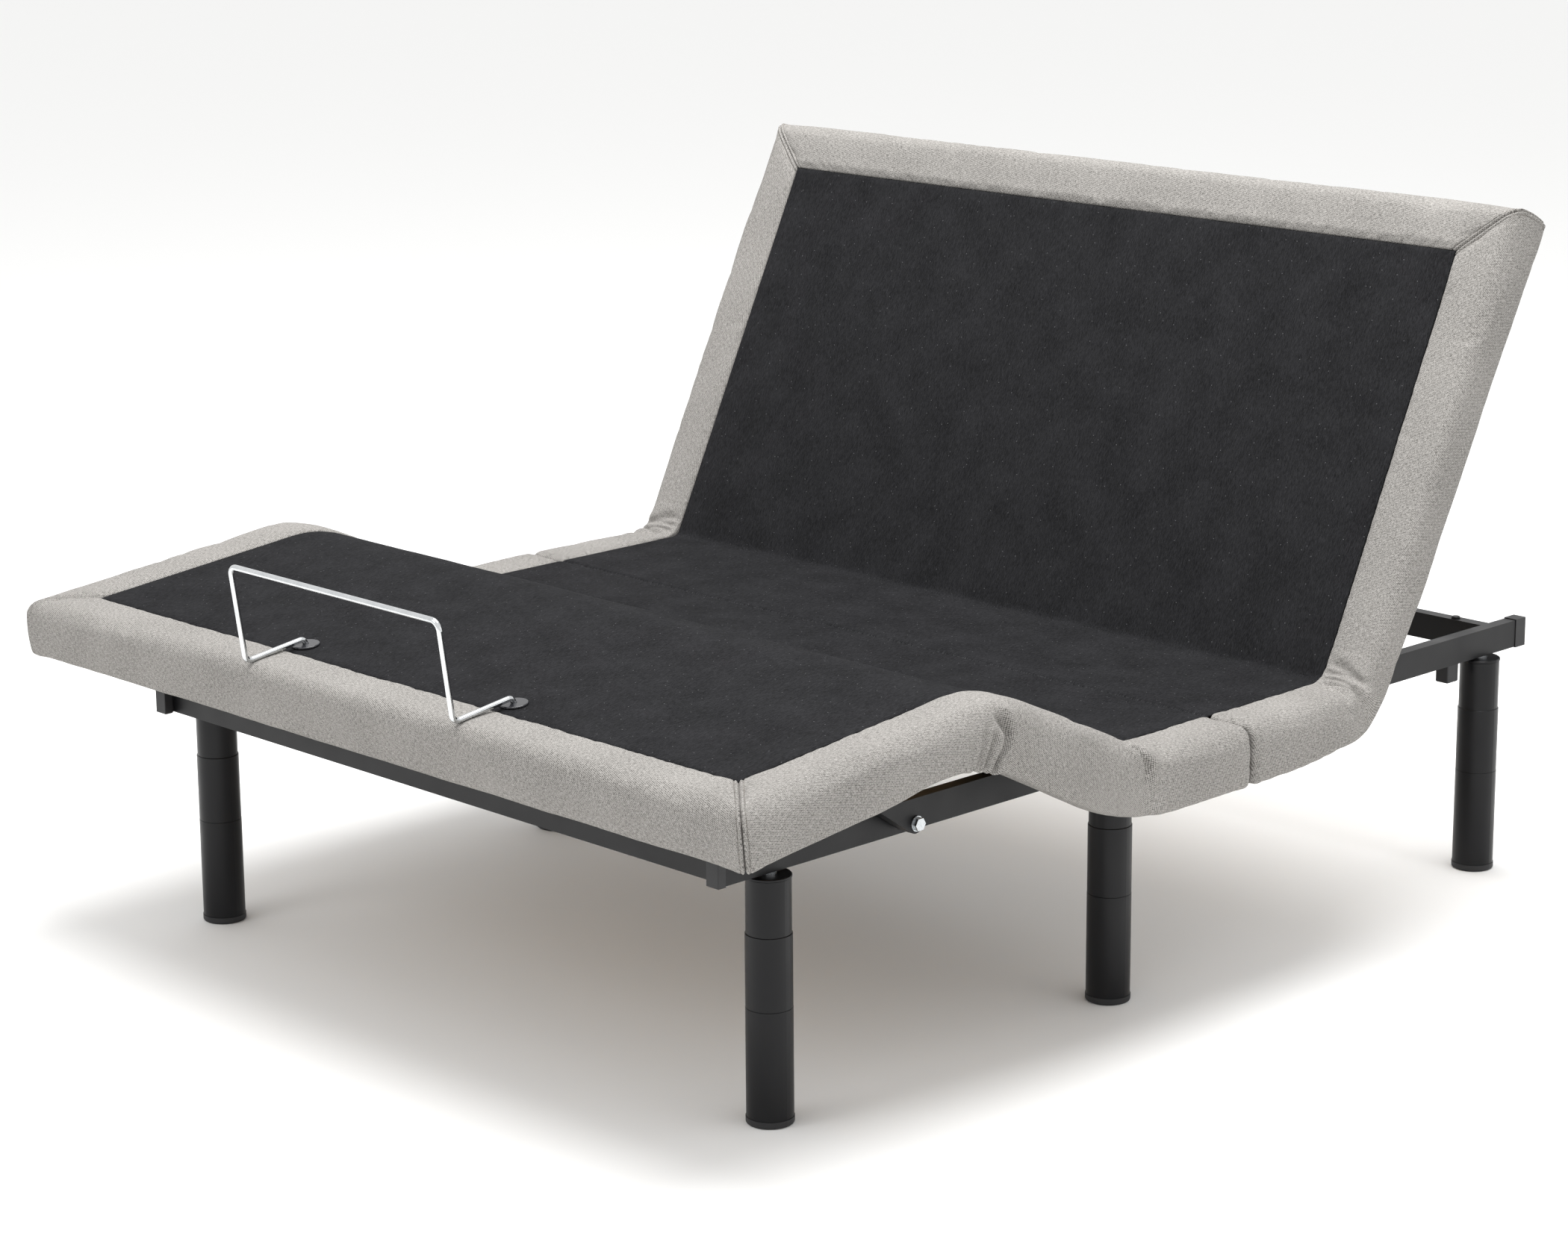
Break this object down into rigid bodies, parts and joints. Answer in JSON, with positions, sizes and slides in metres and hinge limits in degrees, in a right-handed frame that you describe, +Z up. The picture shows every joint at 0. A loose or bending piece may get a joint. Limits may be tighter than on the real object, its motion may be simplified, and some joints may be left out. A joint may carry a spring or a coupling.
{
  "type": "adjustable bed base",
  "caption": "Queen-size adjustable bed base: padded deck with powered head and leg lift, steel rail frame, round screw-in legs and a wire mattress retainer.",
  "frame": {"origin": "on the floor under the middle of the base", "axes": "+X towards the base's right side as seen from the foot end, +Y towards the head end, +Z up"},
  "size_m": [1.524, 1.851, 1.0636],
  "materials": {
    "frame_black": "satin powder coat",
    "leg_black": "satin powder coat",
    "moulded_black": "matte",
    "socket_black": "gloss",
    "zinc": "zinc plated",
    "chrome": "polished",
    "tube_alu": "satin",
    "plywood": "bare",
    "cover_grey": "woven",
    "cover_black": "non-woven",
    "strip_rubber": "matte"
  },
  "bodies": {
    "base": {"base_ears": "frame_black", "control_box": "moulded_black", "corner_tabs": "frame_black", "cross_rail_foot": "frame_black", "cross_rail_head": "frame_black", "cross_rail_hip": "frame_black", "cross_rail_seat": "frame_black", "head_actuator_tube": "tube_alu", "head_motor": "moulded_black", "leg_actuator_tube": "tube_alu", "leg_fasteners": "zinc", "leg_glides": "moulded_black", "leg_lowers": "leg_black", "leg_middles": "leg_black", "leg_motor": "moulded_black", "leg_top_discs": "leg_black", "leg_uppers": "leg_black", "link_bolts": "zinc", "motor_mounts": "frame_black", "power_supply": "moulded_black", "rail_end_caps": "moulded_black", "rail_left": "frame_black", "rail_right": "frame_black", "rail_strips": "strip_rubber", "rail_stubs": "moulded_black", "seat_front_board": "plywood", "seat_front_border": "cover_grey", "seat_front_pad": "cover_black", "seat_rear_board": "plywood", "seat_rear_border": "cover_grey", "seat_rear_pad": "cover_black", "splice_plates": "frame_black"},
    "head_deck": {"head_board": "plywood", "head_border": "cover_grey", "head_end_border": "cover_grey", "head_pad": "cover_black", "head_frame": "frame_black", "head_lever": "frame_black", "back_pins": "zinc"},
    "thigh_deck": {"thigh_board": "plywood", "thigh_border": "cover_grey", "thigh_pad": "cover_black", "thigh_frame": "frame_black", "thigh_lever": "frame_black", "hip_pins": "zinc", "knee_pins": "zinc"},
    "foot_deck": {"foot_board": "plywood", "foot_border": "cover_grey", "foot_end_border": "cover_grey", "foot_pad": "cover_black", "foot_frame": "frame_black", "link_brackets": "frame_black", "link_pins": "zinc", "bar_sockets": "socket_black"},
    "side_links": {"link_left": "frame_black", "link_right": "frame_black"},
    "retainer_bar": {"retainer_bar": "chrome"},
    "head_rod": {"head_rod": "chrome"},
    "leg_rod": {"leg_rod": "chrome"}
  },
  "joints": [
    {"name": "head_lift", "type": "hinge", "parent": "base", "child": "head_deck", "pos_m": [0, 0.331, 0.39], "axis": [1, 0, 0], "range_deg": [-64, 0]},
    {"name": "leg_lift", "type": "hinge", "parent": "base", "child": "thigh_deck", "pos_m": [0, -0.135, 0.39], "axis": [-1, 0, 0], "range_deg": [-24.75, 7]},
    {"name": "knee_fold", "type": "hinge", "parent": "thigh_deck", "child": "foot_deck", "pos_m": [0, -0.42742, 0.52481], "axis": [1, 0, 0], "range_deg": [-30.59, 8.66]},
    {"name": "link_swing", "type": "hinge", "parent": "base", "child": "side_links", "pos_m": [0, -0.4655, 0.361], "axis": [-1, 0, 0], "range_deg": [-35.5, 10.05]},
    {"name": "head_rod_slide", "type": "slide", "parent": "base", "child": "head_rod", "axis": [0, 1, 0], "range_m": [-0.12728, 0]},
    {"name": "leg_rod_slide", "type": "slide", "parent": "base", "child": "leg_rod", "axis": [0, -1, 0], "range_m": [-0.05128, 0.01457]},
    {"name": "bar_lift", "type": "slide", "parent": "foot_deck", "child": "retainer_bar", "axis": [0, -0.1016, 0.9948], "range_m": [0, 0.04]}
  ],
  "couplings": [
    {"joint": "knee_fold", "follows": "leg_lift", "ratio": 1.2356},
    {"joint": "link_swing", "follows": "leg_lift", "ratio": 1.434},
    {"joint": "leg_rod_slide", "follows": "leg_lift", "m_per_rad": 0.11847},
    {"joint": "head_rod_slide", "follows": "head_lift", "m_per_rad": 0.11386}
  ]
}
